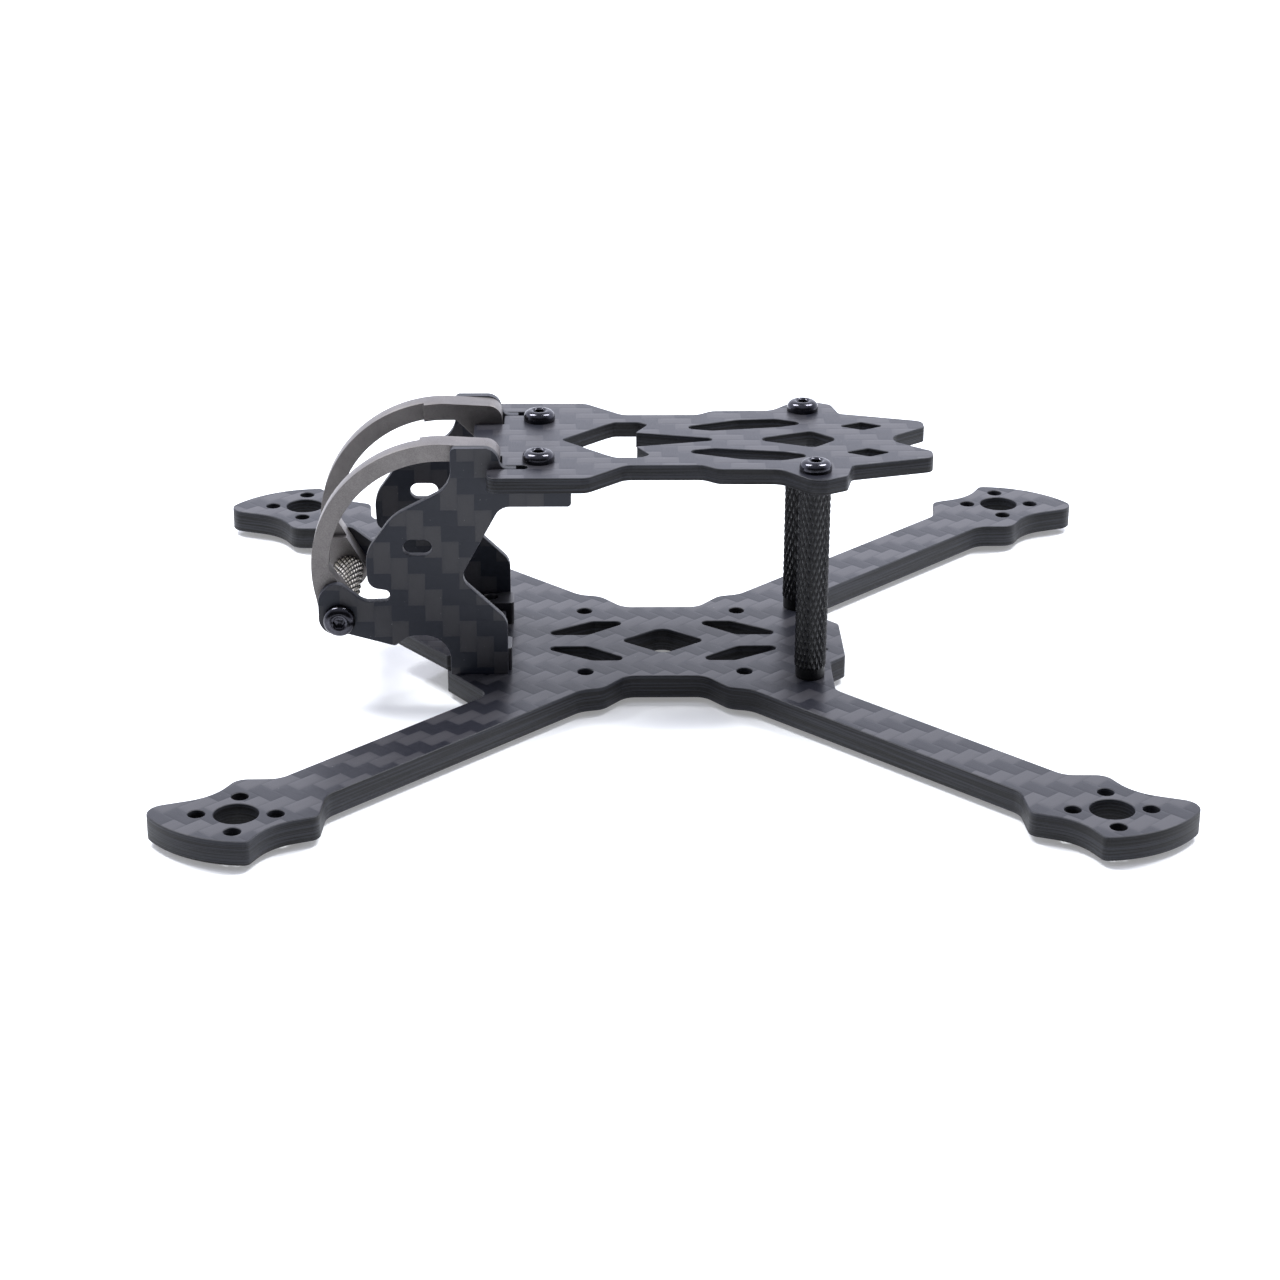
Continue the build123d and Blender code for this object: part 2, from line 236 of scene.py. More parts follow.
def cut_edge(m, x, y, z, run, through):
    """Plies on a cut edge: their grain, the lines between them, and a tone."""
    lengthwise, crosswise = 60.0, 3300.0
    where = m.vector(m.times(x, lengthwise), m.times(run, lengthwise), m.times(through, crosswise))
    ply = m.noise(where, 1.0, 2.0, 0.55)
    line = m.math("FRACT", m.times(through, 1.0 / (PLY * MM)))
    line = m.smooth(m.abs(m.minus(line, 0.5)), 0.34, 0.5)
    speck = m.around(m.noise(m.vector(x, y, z), 5200.0, 2.0, 0.6), 0.5, 0.9)
    tone = m.minus(m.add(m.smooth(ply, 0.36, 0.64), speck), m.times(line, 1.1))
    return ply, line, tone


def carbon(name, upright, turn, light, dark, edge, roughness):
    """Twill carbon plate: woven faces, ply lines on the cut edges, and a paler rim that is partly
    edge wear and partly painted highlight.
    """
    m = Nodes(name)
    x, y, z = m.object_xyz()
    _, normal_y, normal_z = m.normal_xyz()
    if upright:
        crown, hair, weft, tone = weave(m, z, x, turn, x, y, z, -1)
        ply, line, ply_tone = cut_edge(m, x, y, z, z, y)
    else:
        crown, hair, weft, tone = weave(m, x, y, turn, x, y, z, 1)
        ply, line, ply_tone = cut_edge(m, x, y, z, y, z)
    facing = m.abs(normal_y if upright else normal_z)
    is_face = m.smooth(facing, 0.86, 0.97)

    edge_color = m.color(m.smooth(ply_tone, -0.2, 1.1), shade(edge, 0.2), shade(edge, 2.6))
    # paler rim on the bevels between face and edge: partly patchy edge wear, partly painted highlight
    # along the rounded edge
    wear_and_highlight = m.add(0.35, m.times(m.noise(m.vector(x, y, z), 900.0, 2.0), 0.8))
    rim = m.times(m.times(m.smooth(facing, 0.2, 0.5), m.minus(1.0, is_face)), wear_and_highlight)
    side_color = m.color(rim, edge_color, shade(edge, 3.2))

    dust = m.smooth(m.noise(m.vector(x, y, z), 2600.0, 1.0), 0.76, 0.82)
    face_color = m.color(m.smooth(tone, 0.0, 1.0), dark, light)
    face_color = m.color(m.times(dust, 0.22), face_color, (0.32, 0.32, 0.32))

    face_rough = m.minus(m.add(roughness, m.around(hair, 0.5, 0.16)), m.times(weft, 0.035))
    face_height = m.add(m.times(crown, 0.8), m.times(hair, 0.3))
    edge_height = m.minus(m.times(ply, 0.7), line)
    height = m.mix(is_face, edge_height, face_height)
    m.set(Base_Color=m.color(is_face, side_color, face_color),
          Roughness=m.mix(is_face, 0.52, face_rough),
          Normal=m.bump(height, 0.09, 0.12 if upright else 0.24))
    m.shine(0.30)
    return m.mat


# ------------------------------------------------------------------ metals
def blasted_metal(name, base, smoothest, roughest):
    """Bead-blasted metal: fine dimples, and a tone and roughness that vary broadly."""
    m = Nodes(name)
    where = m.vector(*m.object_xyz())
    fine = m.noise(where, 9000.0, 3.0, 0.65)
    broad = m.noise(where, 260.0, 3.0, 0.6)
    tone = m.add(m.times(fine, 0.7), m.times(broad, 0.5))
    m.set(Base_Color=m.color(m.smooth(tone, 0.35, 0.85), shade(base, 0.72), shade(base, 1.25)),
          Roughness=m.mix(broad, smoothest, roughest),
          Normal=m.bump(m.add(fine, m.times(broad, 0.4)), 0.03, 0.35),
          Metallic=1.0)
    return m.mat


def black_finish(name, base, roughness, metallic, streak):
    """Black oxide or anodising with a fine grain and small wear."""
    m = Nodes(name)
    where = m.vector(*m.object_xyz())
    fine = m.noise(where, 7000.0, 2.0, 0.6)
    broad = m.noise(where, 700.0, 3.0, 0.6)
    tone = m.add(m.times(fine, 0.5), m.times(broad, 0.5))
    m.set(Base_Color=m.color(m.smooth(tone, 0.3, 0.75), shade(base, 0.6), shade(base, 1.7)),
          Roughness=m.add(roughness, m.around(broad, 0.5, streak)),
          Normal=m.bump(fine, 0.01, 0.18),
          Metallic=metallic)
    m.shine(0.6)
    return m.mat


def knurled_finish(name, crest, root, roughness, metallic, radius, axis_at):
    """Finish of a knurled post: paler crests, and grooves filled with the root colour as painted
    shade, told apart by radius.

    axis_at gives the place of the post's axis in the two directions across it.
    """
    m = Nodes(name)
    xyz = m.object_xyz()
    square = 0.0
    for value, key in zip(xyz, "xyz"):
        if key in axis_at:
            off = m.minus(value, axis_at[key])
            square = m.add(square, m.times(off, off))
    away = m.math("SQRT", square)
    groove_in, crest_in = 0.14 * MM, 0.015 * MM
    top = m.smooth(away, radius - groove_in, radius - crest_in)
    fine = m.noise(m.vector(*xyz), 8000.0, 2.0, 0.6)
    pale = m.color(fine, shade(crest, 0.7), shade(crest, 1.25))
    # the root colour in the grooves is painted shade in the knurl's hollows
    m.set(Base_Color=m.color(top, root, pale),
          Roughness=m.mix(top, 0.5, m.add(roughness, m.around(fine, 0.5, 0.12))),
          Normal=m.bump(fine, 0.01, 0.2),
          Metallic=metallic)
    m.shine(0.3)
    return m.mat


# ------------------------------------------------------------------ materials
# light and dark are the pale and dark ends of each weave's tone; the weft floats' share of the gap
# between them is painted reflection
base_carbon = carbon("carbon_base", upright=False, turn=math.radians(45), roughness=0.36,
                     light=(0.037, 0.0365, 0.042), dark=(0.0090, 0.0096, 0.0142),
                     edge=(0.0065, 0.0070, 0.0095))
top_carbon = carbon("carbon_top", upright=False, turn=0.0, roughness=0.34,
                    light=(0.027, 0.0265, 0.031), dark=(0.0120, 0.0126, 0.0178),
                    edge=(0.0060, 0.0065, 0.0090))
side_carbon = carbon("carbon_side", upright=True, turn=0.0, roughness=0.42,
                     light=(0.0395, 0.0385, 0.0430), dark=(0.0105, 0.0128, 0.0210),
                     edge=(0.018, 0.019, 0.024))
titanium = blasted_metal("titanium_blasted", (0.172, 0.162, 0.159), smoothest=0.42, roughest=0.54)
anodised = black_finish("anodised_black", (0.006, 0.006, 0.008), roughness=0.34, metallic=0.0,
                        streak=0.14)
black_steel = black_finish("steel_black", (0.045, 0.045, 0.053), roughness=0.17, metallic=1.0,
                           streak=0.10)


# ------------------------------------------------------------------ guard arcs and blocks
def soften(obj, width, segments=2):
    """Round the edges of a CAD node with modifiers; its own mesh is left as it is."""
    weld = obj.modifiers.new("weld", "WELD")
    weld.merge_threshold = 0.002 * MM
    flat = obj.modifiers.new("flat", "DECIMATE")
    flat.decimate_type = "DISSOLVE"
    flat.angle_limit = math.radians(0.4)
    bevel = obj.modifiers.new("bevel", "BEVEL")
    bevel.width = width * MM
    bevel.segments = segments
    bevel.limit_method = "ANGLE"
    bevel.angle_limit = math.radians(30)
    bevel.harden_normals = True
    bevel.use_clamp_overlap = True


def paint(obj, material):
    obj.data.materials.clear()
    obj.data.materials.append(material)


for hand in ("left", "right"):
    arc = nodes[f"{hand}_guard_arc"]
    soften(arc, 0.14, segments=3)
    paint(arc, titanium)
    for piece in ("lower_block", "upper_block"):
        block = nodes[f"{hand}_{piece}"]
        soften(block, 0.08)
        paint(block, anodised)


# ------------------------------------------------------------------ making a redrawn piece
def finish_mesh(name, mesh, material, stands_for, crisp):
    """Turn a bmesh into a piece that rides on the root body and stands for a CAD node.

    Flat faces square to the axes are shaded flat, and edges over crisp degrees are sharp.
    """
    data = bpy.data.meshes.new(name)
    bmesh.ops.recalc_face_normals(mesh, faces=mesh.faces)
    for face in mesh.faces:
        face.smooth = max(abs(v) for v in face.normal) < 0.9999
    for edge in mesh.edges:
        edge.smooth = edge.calc_face_angle(0.0) < math.radians(crisp)
    mesh.to_mesh(data)
    mesh.free()
    data.materials.append(material)
    obj = bpy.data.objects.new(name, data)
    scene.collection.objects.link(obj)
    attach(obj, "root")
    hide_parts(stands_for)


def bridge(mesh, rows):
    """Faces between each closed row of points and the next."""
    for low, high in zip(rows, rows[1:]):
        for k in range(len(low)):
            n = (k + 1) % len(low)
            mesh.faces.new((low[k], low[n], high[n], high[k]))


# ------------------------------------------------------------------ outlines of plates
ARC_STEP = math.radians(5)


def rounded(corners):
    """Closed outline through (x, y, corner radius), every corner turned in fine steps."""
    points = []
    for k, (x, y, radius) in enumerate(corners):
        here = Vector((x, y))
        back = (Vector(corners[k - 1][:2]) - here).normalized()
        ahead = (Vector(corners[(k + 1) % len(corners)][:2]) - here).normalized()
        inside = math.acos(max(-1.0, min(1.0, back.dot(ahead))))
        turn = math.pi - inside
        if radius < 0.01 or turn < 0.01:
            points.append(here)
            continue
        reach = radius / math.tan(inside / 2)
        middle = here + (back + ahead).normalized() * (radius / math.sin(inside / 2))
        first = here + back * reach - middle
        steps = max(2, math.ceil(turn / ARC_STEP))
        way = 1 if back.cross(ahead) < 0 else -1
        for i in range(steps + 1):
            angle = way * turn * i / steps
            spun = Vector((first.x * math.cos(angle) - first.y * math.sin(angle),
                           first.x * math.sin(angle) + first.y * math.cos(angle)))
            points.append(middle + spun)
    return points


def circle(x, y, radius, steps=48):
    turns = [k / steps * math.tau for k in range(steps)]
    return [Vector((x + radius * math.cos(t), y + radius * math.sin(t))) for t in turns]


def both_sides(half):
    """A left half's corners, from front to rear, and their mirror back to the front."""
    return half + [(x, -y, r) for x, y, r in reversed(half) if y > 0]


def sheet(name, node, loops, material, bevel, upright=False):
    """Plate that stands for a CAD node, from its outline and openings, with softened edges.

    Its thickness, and its place across that, are those of the node's box.
    """
    mid, low, high = middle_of(node)
    if upright:
        thickness = high.y - low.y
        place = Matrix.Translation((0, mid.y, 0)) @ Matrix.Rotation(math.pi / 2, 4, "X")
    else:
        thickness = high.z - low.z
        place = Matrix.Translation((0, 0, mid.z))
    curve = bpy.data.curves.new(name, "CURVE")
    curve.dimensions = "2D"
    curve.fill_mode = "BOTH"
    curve.extrude = thickness / 2 - bevel * MM
    curve.bevel_depth = bevel * MM
    curve.bevel_resolution = 2
    curve.offset = -bevel * MM
    for loop in loops:
        spline = curve.splines.new("POLY")
        spline.points.add(len(loop) - 1)
        for point, at in zip(spline.points, loop):
            point.co = (at.x * MM, at.y * MM, 0, 1)
        spline.use_cyclic_u = True
    holder = bpy.data.objects.new(name + "_curve", curve)
    data = bpy.data.meshes.new_from_object(holder)
    bpy.data.objects.remove(holder)
    data.transform(place)
    mesh = bmesh.new()
    mesh.from_mesh(data)
    bmesh.ops.remove_doubles(mesh, verts=mesh.verts, dist=0.001 * MM)
    finish_mesh(name, mesh, material, node, crisp=24.0)


# ------------------------------------------------------------------ base plate
ARM = 7.3                     # arm width
ARM_SIDE = ARM / math.sqrt(2)
PAD_NOSE = Vector((-6.7, -3.6))   # centre of a pad's round nose, from the motor centre
PAD_NOSE_R = 14.5
PAD_TIP_R = 2.2
PAD_HEEL_R = 0.9


def arc_points(middle, radius, start, end, steps):
    turns = [start + (end - start) * k / steps for k in range(steps + 1)]
    return [(middle.x + radius * math.cos(t), middle.y + radius * math.sin(t), 0) for t in turns]


def meet(point, way, middle, radius):
    """Where a ray from a point leaves a circle."""
    off = point - middle
    b = off.dot(way)
    return point + way * (math.sqrt(b * b - off.dot(off) + radius * radius) - b)


def direction(vector):
    return math.atan2(vector.y, vector.x)


def pad_corners():
    """Front left motor pad, drawn along the arm outward and then turned onto the arm.

    Each flank runs from a shoulder through a dip, at outer and inner, to the round nose.
    """
    outer, outer_end = Vector((-0.9, -5.4)), Vector((9.5, -10.3))
    inner, inner_end = Vector((-0.9, 4.9)), Vector((9.5, 8.4))
    way = (outer_end - outer).normalized()
    inward = Vector((-way.y, way.x))
    tip = meet(outer + inward * PAD_TIP_R, way, PAD_NOSE, PAD_NOSE_R - PAD_TIP_R)
    back = (inner_end - inner).normalized()
    inside = Vector((back.y, -back.x))
    heel = meet(inner + inside * PAD_HEEL_R, back, PAD_NOSE, PAD_NOSE_R - PAD_HEEL_R)
    tip_turn = direction(tip - PAD_NOSE)
    heel_turn = direction(heel - PAD_NOSE)
    path = [(-9.4, -ARM / 2, 3.0), (-5.9, -7.05, 2.2), (*outer, 7.0)]
    path += arc_points(tip, PAD_TIP_R, direction(-inward), tip_turn, 14)
    path += arc_points(PAD_NOSE, PAD_NOSE_R, tip_turn, heel_turn, 40)[1:]
    path += arc_points(heel, PAD_HEEL_R, heel_turn, direction(-inside), 8)[1:]
    path += [(*inner, 7.0), (-6.1, 7.2, 1.4), (-10.2, ARM / 2, 3.0)]
    turned = math.sqrt(0.5)
    return [(MOTOR + (x - y) * turned, MOTOR + (x + y) * turned, r) for x, y, r in path]


def base_loops():
    """Outline and openings of the base plate."""
    pad = pad_corners()
    waist = [(10.6, 10.6 + ARM_SIDE, 3.5), (7.8, 15.1, 2.5), (4.9, 11.4, 2.5)]
    half = [(27.3, 9.2, 0.8), (22.0, 22.0 - ARM_SIDE, 1.8)] + pad + waist
    half += [(-x, y, r) for x, y, r in reversed(pad + waist)]
    half += [(-21.0, 21.0 - ARM_SIDE, 1.8), (-21.0, 7.4, 1.0), (-23.1, 5.3, 1.0)]
    centre_diamond = [(5.4, 0, 0.7), (0, 4.2, 1.8), (-5.4, 0, 0.7), (0, -4.2, 1.8)]
    loops = [rounded(both_sides(half)), rounded(centre_diamond)]
    screw_x, screw_y = STANDOFF
    block_x, block_y = LOWER_BLOCK_SCREW
    for side in (1, -1):
        eye = [(-17.2, 3.1, 0.3), (-19.3, 4.1, 0.4), (-21.4, 3.1, 0.3), (-19.3, 2.1, 0.4)]
        loops.append(rounded([(x, side * y, r) for x, y, r in eye]))
        for end in (1, -1):
            slot = [(16.1, 1.92, 0.7), (9.6, 1.92, 1.5), (4.0, 6.4, 0.7), (9.1, 6.4, 1.5)]
            loops.append(rounded([(end * x, side * y, r) for x, y, r in slot]))
            loops.append(circle(end * STACK, side * STACK, SCREW_HOLE_R))
            loops.append(circle(end * MOTOR, side * MOTOR, MOTOR_BORE_R, 72))
            for dx, dy in ((1, 0), (-1, 0), (0, 1), (0, -1)):
                loops.append(circle(end * MOTOR + dx * MOTOR_SCREW_CIRCLE,
                                    side * MOTOR + dy * MOTOR_SCREW_CIRCLE, SCREW_HOLE_R))
        loops.append(circle(screw_x, side * screw_y, SCREW_HOLE_R))
        loops.append(circle(block_x, side * block_y, SCREW_HOLE_R))
    return loops


sheet("base_sheet", "base_plate", base_loops(), base_carbon, bevel=0.14)


# ------------------------------------------------------------------ nose plate
nose_half = [(34.6, 0, 1.5), (27.3, 9.4, 0.4), (25.3, 9.4, 0.2), (25.3, 5.4, 0.2), (20.2, 5.4, 0.5)]
sheet("nose_sheet", "nose_plate", [rounded(both_sides(nose_half))], top_carbon, bevel=0.10)


# ------------------------------------------------------------------ top plate
def top_loops():
    """Outline and openings of the top plate."""
    half = [(23.9, 6.0, 0.6), (20.2, 6.0, 0.1), (20.2, 9.4, 0.2), (17.0, 9.4, 0.6), (17.0, 10.8, 0.6),
            (22.0, 10.8, 0.5), (22.0, 14.2, 1.3), (9.8, 14.2, 2.0), (5.1, 9.6, 2.0), (-4.5, 9.6, 2.0),
            (-6.3, 11.1, 2.0), (-14.0, 11.2, 2.5), (-18.0, 15.7, 2.3), (-21.9, 13.5, 1.0),
            (-22.7, 9.9, 0.8), (-33.1, 6.9, 1.3), (-33.1, 4.5, 0.8), (-27.5, 0, 2.0)]
    arrow_half = [(12.9, 0, 0.5), (7.4, 5.6, 1.5), (6.2, 6.6, 1.0), (3.1, 6.6, 1.0),
                  (2.0, 5.7, 0.5), (3.6, 2.6, 0.2), (-7.9, 0, 0.55)]
    diamond_half = [(-10.9, 0, 0.8), (-18.6, 3.1, 1.2), (-21.75, 0, 1.1)]
    loops = [rounded(both_sides(shape)) for shape in (half, arrow_half, diamond_half)]
    long_slot = [(-1.5, 4.45, 0.7), (-6.1, 3.35, 2.0), (-14.8, 4.7, 3.0),
                 (-18.4, 6.15, 0.7), (-14.4, 7.8, 2.0), (-9.5, 7.45, 3.0)]
    eye = [(-22.2, 4.98, 0.3), (-25.2, 6.5, 0.7), (-27.9, 4.98, 0.3), (-25.2, 3.46, 0.7)]
    screw_x, screw_y = STANDOFF
    block_x, block_y = UPPER_BLOCK_SCREW
    for side in (1, -1):
        for shape in (long_slot, eye):
            loops.append(rounded([(x, side * y, r) for x, y, r in shape]))
        loops.append(circle(screw_x, side * screw_y, SCREW_HOLE_R))
        loops.append(circle(block_x, side * block_y, SCREW_HOLE_R))
    return loops


sheet("top_sheet", "top_plate", top_loops(), top_carbon, bevel=0.11)


# ------------------------------------------------------------------ side plates
def side_loops():
    """Outline and openings of a side plate: forward, and above the base plate."""
    corners = [
        (26.8, 0, 0), (19.65, 0, 0), (19.65, 7.3, 2.5), (25.5, 12.9, 1.8), (20.4, 22.3, 2.0),
        (11.7, 22.3, 0.5), (11.7, 25.3, 0), (18.4, 25.3, 0), (18.4, 27.3, 0.1),
        (20.2, 27.3, 1.0), (21.0, 29.9, 1.8), (26.45, 29.9, 0.6), (26.45, 24.9, 3.5),
        (33.6, 21.15, 6.0), (37.1, 16.3, 4.5), (36.85, 11.75, 1.5), (34.2, 11.3, 0.65),
        (34.2, 9.9, 0.65), (37.4, 9.8, 2.0), (40.2, 12.1, 1.2), (43.1, 12.0, 2.4),
        (43.1, 5.3, 2.2), (39.5, 5.5, 2.0), (33.7, 3.9, 0.6), (31.9, 5.25, 2.0), (26.8, 5.25, 3.2)]
    slot_x, slot_h = CAMERA_SLOT
    half_run, half_width = CAMERA_SLOT_RUN / 2, CAMERA_SLOT_WIDTH / 2
    end_radius = half_width - 0.001      # a hair short, so that two corners never share a point
    slot = [(slot_x + dx * half_run, slot_h + dh * half_width, end_radius)
            for dx, dh in ((-1, -1), (1, -1), (1, 1), (-1, 1))]
    screw_x, screw_h = GUARD_SCREW
    return [rounded([(x, BASE_TOP_Z + h, r) for x, h, r in corners]),
            rounded([(x, BASE_TOP_Z + h, r) for x, h, r in slot]),
            circle(screw_x, BASE_TOP_Z + screw_h, SCREW_HOLE_R)]


for hand in ("left", "right"):
    sheet(f"{hand}_side_sheet", f"{hand}_side_plate", side_loops(), side_carbon, bevel=0.09,
          upright=True)


# ------------------------------------------------------------------ knurled standoffs
KNURL_STARTS = 20             # crests round the post, in each direction
KNURL_PITCH = 1.75            # from one crest to the next, along the post
KNURL_DEPTH = 0.16
KNURL_LAND = 0.12             # share of the pitch that stays a flat crest
KNURL_RUN_OUT = 0.1           # plain length left at each end of the knurl
STEPS_ROUND_CREST = 8
STEPS_ALONG_PITCH = 14
POST_CHAMFER = 0.12
COLLAR_IN = 0.15              # collar's surface, in from the crests
REAR_COLLAR = 1.5             # plain turned length at the foot of a rear standoff


def groove(phase):
    """0 on a crest, 1 in the bottom of a cut, for one family of knurl cuts."""
    off = abs((phase % 1.0) - 0.5) * 2.0
    return max(0.0, (off - KNURL_LAND) / (1.0 - KNURL_LAND))


def knurled_post(name, start, end, radius, collar, material, stands_for):
    """A post with crossed knurl cuts, a plain turned collar at its start and open tapped ends."""
    axis = (end - start).normalized()
    side = Vector((1, 0, 0)) if abs(axis.x) < 0.5 else Vector((0, 0, 1))
    other = axis.cross(side)
    length = (end - start).length
    around = KNURL_STARTS * STEPS_ROUND_CREST
    pitch, depth, chamfer = KNURL_PITCH * MM, KNURL_DEPTH * MM, POST_CHAMFER * MM
    bore = TAPPED_R * MM
    collar_radius = radius - COLLAR_IN * MM
    run_out = KNURL_RUN_OUT * MM
    mesh = bmesh.new()

    def ring(at, size, cut=False):
        row = []
        for k in range(around):
            turn = k / around
            r = size
            if cut:
                twist = at / pitch
                both = (groove(KNURL_STARTS * turn + twist), groove(KNURL_STARTS * turn - twist))
                r = size - depth * max(both)
            angle = turn * math.tau
            spoke = side * math.cos(angle) + other * math.sin(angle)
            row.append(mesh.verts.new(start + axis * at + spoke * r))
        return row

    drilled = bore * 1.2
    rows = [ring(drilled, bore), ring(chamfer, bore), ring(0.0, bore + chamfer)]
    rows += [ring(0.0, collar_radius - chamfer), ring(chamfer, collar_radius)]
    if collar > chamfer:
        rows.append(ring(collar - 0.05 * MM, collar_radius))
    knurled = length - collar - 2 * run_out
    cuts = int(knurled / (pitch / STEPS_ALONG_PITCH))
    for k in range(cuts + 1):
        rows.append(ring(collar + run_out + knurled * k / cuts, radius, cut=True))
    rows += [ring(length - chamfer, collar_radius), ring(length, collar_radius - chamfer)]
    rows += [ring(length, bore + chamfer), ring(length - chamfer, bore), ring(length - drilled, bore)]
    bridge(mesh, rows)
    mesh.faces.new(rows[0])
    mesh.faces.new(list(reversed(rows[-1])))
    finish_mesh(name, mesh, material, stands_for, crisp=20.0)


for hand in ("left", "right"):
    node = f"{hand}_rear_standoff"
    mid, low, high = middle_of(node)
    radius = (high.x - low.x) / 2
    # root: painted shade for the knurl's grooves
    finish = knurled_finish(f"{hand}_post_black", crest=(0.006, 0.006, 0.009),
                            root=(0.001, 0.001, 0.0015), roughness=0.16, metallic=0.0,
                            radius=radius, axis_at={"x": mid.x, "y": mid.y})
    knurled_post(f"{hand}_rear_post", Vector((mid.x, mid.y, low.z)), Vector((mid.x, mid.y, high.z)),
                 radius, REAR_COLLAR * MM, finish, node)
mid, low, high = middle_of("front_cross_standoff")
radius = (high.x - low.x) / 2
# root: painted shade for the knurl's grooves
finish = knurled_finish("cross_post_finish", crest=(1.0, 0.85, 0.72), root=(0.004, 0.004, 0.004),
                        roughness=0.24, metallic=1.0, radius=radius,
                        axis_at={"x": mid.x, "z": mid.z})
knurled_post("front_cross_post", Vector((mid.x, low.y, mid.z)), Vector((mid.x, high.y, mid.z)),
             radius, 0.0, finish, "front_cross_standoff")


# ------------------------------------------------------------------ screws
SHANK_R = 0.93
SHANK_TIP = ((0.25, 0.72), (0.3, 0.80), (0.5, SHANK_R))       # up from the tip, radius
HEAD_EDGE = ((0.0, 0.10), (0.03, 0.03), (0.10, 0.0))          # up from the seat, in from the rim
SOCKET_FLATS = 1.3
SOCKET_DEPTH = 0.95
SOCKET_FLOOR = 0.05           # a low head's socket stops this far below the head
DRILL_POINT = 0.22


def hex_radius(angle):
    """Radius of the socket's hexagon in the direction of an angle."""
    off_flat = angle % (math.pi / 3) - math.pi / 6
    return SOCKET_FLATS * MM / 2 / math.cos(off_flat)


def screw(name, node, outward, head_radius, head_height, dome):
    """Socket screw with a domed or flat head, a countersunk hexagon and a plain shank.

    Heights are from the top of the head, and negative inside the screw.
    """
    mid, low, high = middle_of(node)
    axis = Vector(outward)
    reach = abs((high - low).dot(axis))
    top = mid + axis * reach / 2
    side = Vector((1, 0, 0))
    other = axis.cross(side)
    angles = [k / 72 * math.tau for k in range(72)]
    mesh = bmesh.new()

    def ring(height, radius_at):
        spokes = [(a, side * math.cos(a) + other * math.sin(a)) for a in angles]
        return [mesh.verts.new(top + axis * height + spoke * radius_at(a)) for a, spoke in spokes]

    # blunt tip, shank, and the head's lower edge
    profile = [(-reach + up * MM, r * MM) for up, r in SHANK_TIP]
    profile.append((-head_height, SHANK_R * MM))
    profile += [(-head_height + up * MM, head_radius - inset * MM) for up, inset in HEAD_EDGE]
    # the head's wall, and its crown as a quarter of an ellipse
    wall = 0.36 * head_height if dome else 0.55 * head_height
    crown_radius = 1.02 * MM if dome else head_radius - 0.28 * MM
    profile.append((-head_height + wall * 0.9, head_radius))
    steps = 12
    for k in range(steps + 1):
        t = k / steps * math.pi / 2
        height = -head_height + wall + (head_height - wall) * math.sin(t)
        r = crown_radius + (head_radius - 0.01 * MM - crown_radius) * math.cos(t)
        profile.append((height, r))
    rows = [ring(height, lambda angle, r=r: r) for height, r in profile]
    # the socket: a round countersink that meets the hexagon, and the hexagon's walls
    deep = min(SOCKET_DEPTH * MM, head_height + SOCKET_FLOOR * MM)
    rows.append(ring(-0.01 * MM, lambda angle: 0.90 * MM))
    rows.append(ring(-0.13 * MM, lambda angle: max(hex_radius(angle) + 0.015 * MM, 0.74 * MM)))
    rows.append(ring(-0.19 * MM, hex_radius))
    rows.append(ring(-deep, hex_radius))
    bridge(mesh, rows)
    drill_point = mesh.verts.new(top + axis * (-deep - DRILL_POINT * MM))
    rim = rows[-1]
    for k, corner in enumerate(rim):
        mesh.faces.new((corner, rim[(k + 1) % len(rim)], drill_point))
    mesh.faces.new(rows[0])
    finish_mesh(name, mesh, black_steel, node, crisp=38.0)


BUTTON_HEAD = (2.0 * MM, 1.3 * MM, True)      # radius, height and whether it is domed
LOW_HEAD = (1.8 * MM, 0.8 * MM, False)
for hand, way in (("left", 1), ("right", -1)):
    for place, outward, head in (
            ("rear_top_screw", (0, 0, 1), BUTTON_HEAD),
            ("front_top_screw", (0, 0, 1), BUTTON_HEAD),
            ("guard_screw", (0, way, 0), BUTTON_HEAD),
            ("rear_base_screw", (0, 0, -1), LOW_HEAD),
            ("front_base_screw", (0, 0, -1), LOW_HEAD)):
        screw(f"{hand}_{place}_part", f"{hand}_{place}", outward, *head)


# ------------------------------------------------------------------ floor
def stage_floor():
    """White floor with a faint sheen, lit a little from itself as on an overexposed sweep."""
    size = 2.5
    data = bpy.data.meshes.new("floor")
    corners = [(-size, -size, 0), (size, -size, 0), (size, size, 0), (-size, size, 0)]
    data.from_pydata(corners, [], [(0, 1, 2, 3)])
    floor = bpy.data.objects.new("floor", data)
    scene.collection.objects.link(floor)
    m = Nodes("floor_white")
    cloud = m.noise(m.vector(*m.object_xyz()), 30.0, 2.0)
    m.set(Base_Color=m.color(cloud, (0.74, 0.765, 0.79), (0.78, 0.795, 0.815)),
          Roughness=m.mix(cloud, 0.10, 0.14))
    m.bsdf.inputs["Emission Color"].default_value = (1.0, 1.0, 1.0, 1.0)
    m.bsdf.inputs["Emission Strength"].default_value = 0.26
    data.materials.append(m.mat)


stage_floor()


# ------------------------------------------------------------------ light
def softbox(name, place, target, width, height, power):
    """Rectangular lamp at a place, turned to a target."""
    light = bpy.data.lights.new(name, "AREA")
    light.shape = "RECTANGLE"
    light.size, light.size_y = width, height
    light.energy = power
    obj = bpy.data.objects.new(name, light)
    obj.location = place
    obj.rotation_mode = "QUATERNION"
    obj.rotation_quaternion = (Vector(target) - Vector(place)).to_track_quat("-Z", "Y")
    scene.collection.objects.link(obj)


for name, forward_m in (("box_front", 0.40), ("box_rear", -0.40)):
    softbox(name, (forward_m, -0.20, 0.78), (0, 0, 0.02), width=0.22, height=0.40, power=9.0)


def step_over(tree, value, low, high, first=0.0, last=1.0):
    """Smooth step of a value from first at low to last at high."""
    n = tree.nodes.new("ShaderNodeMapRange")
    n.interpolation_type = "SMOOTHSTEP"
    for socket, number in zip(list(n.inputs)[1:5], (low, high, first, last)):
        socket.default_value = number
    tree.links.new(value, n.inputs[0])
    return n.outputs[0]


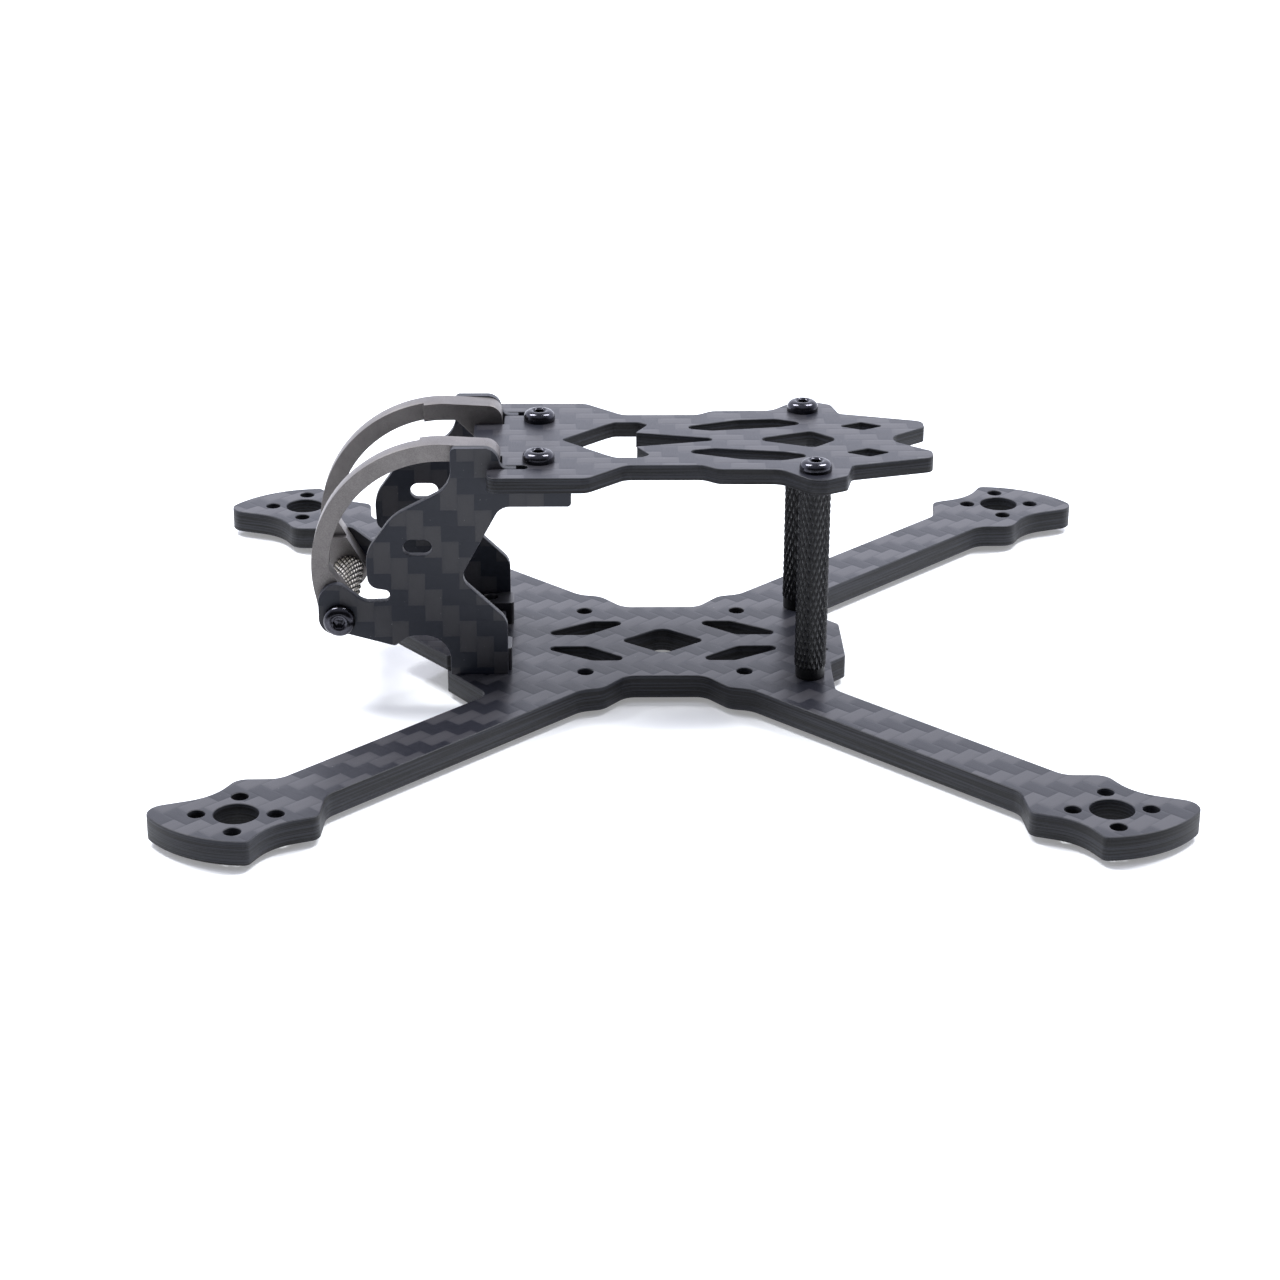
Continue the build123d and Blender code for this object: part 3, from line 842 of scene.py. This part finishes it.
def backdrop(color, behind, camera_side, overhead):
    """World light: a pale sweep behind, a dim room on the camera's side, a bright ceiling."""
    world = bpy.data.worlds.new("studio")
    world.use_nodes = True
    scene.world = world
    tree = world.node_tree
    background = tree.nodes["Background"]
    background.inputs["Color"].default_value = color
    coord = tree.nodes.new("ShaderNodeTexCoord")
    split = tree.nodes.new("ShaderNodeSeparateXYZ")
    tree.links.new(coord.outputs["Generated"], split.inputs[0])
    across = step_over(tree, split.outputs[1], -0.3, 0.6, behind, camera_side)
    upward = step_over(tree, split.outputs[2], 0.45, 0.9)
    blend = tree.nodes.new("ShaderNodeMix")
    tree.links.new(upward, blend.inputs[0])
    tree.links.new(across, blend.inputs[2])
    blend.inputs[3].default_value = overhead
    tree.links.new(blend.outputs[0], background.inputs["Strength"])


backdrop((0.85, 0.87, 1.0, 1.0), behind=1.9, camera_side=0.10, overhead=0.80)


# ------------------------------------------------------------------ camera
def photo_camera(place, elevation, roll, yaw, focal, sensor=36.0):
    """Camera on the left side, looking right and down; focal is in widths of the picture."""
    elevation, roll, yaw = (math.radians(v) for v in (elevation, roll, yaw))
    forward = Vector((0, -math.cos(elevation), -math.sin(elevation)))
    right = Vector((-1, 0, 0))
    down = forward.cross(right)
    spin = Matrix.Rotation(yaw, 3, "Z")
    forward, right, down = (spin @ v for v in (forward, right, down))
    right, down = (math.cos(roll) * right - math.sin(roll) * down,
                   math.sin(roll) * right + math.cos(roll) * down)
    camera = bpy.data.cameras.new("photo_camera")
    camera.sensor_width = sensor
    camera.lens = focal * sensor
    camera.clip_start = 0.01
    eye = bpy.data.objects.new("photo_camera", camera)
    facing = Matrix((right, -down, -forward)).transposed().to_4x4()
    eye.matrix_world = Matrix.Translation(place) @ facing
    scene.collection.objects.link(eye)
    scene.camera = eye


eye_above_plate = 153.8
photo_camera((11.9 * MM, 362.3 * MM, (BASE_TOP_Z + eye_above_plate) * MM),
             elevation=22.99, roll=0.33, yaw=-1.42, focal=2.3921875)
scene.view_settings.view_transform = "Standard"
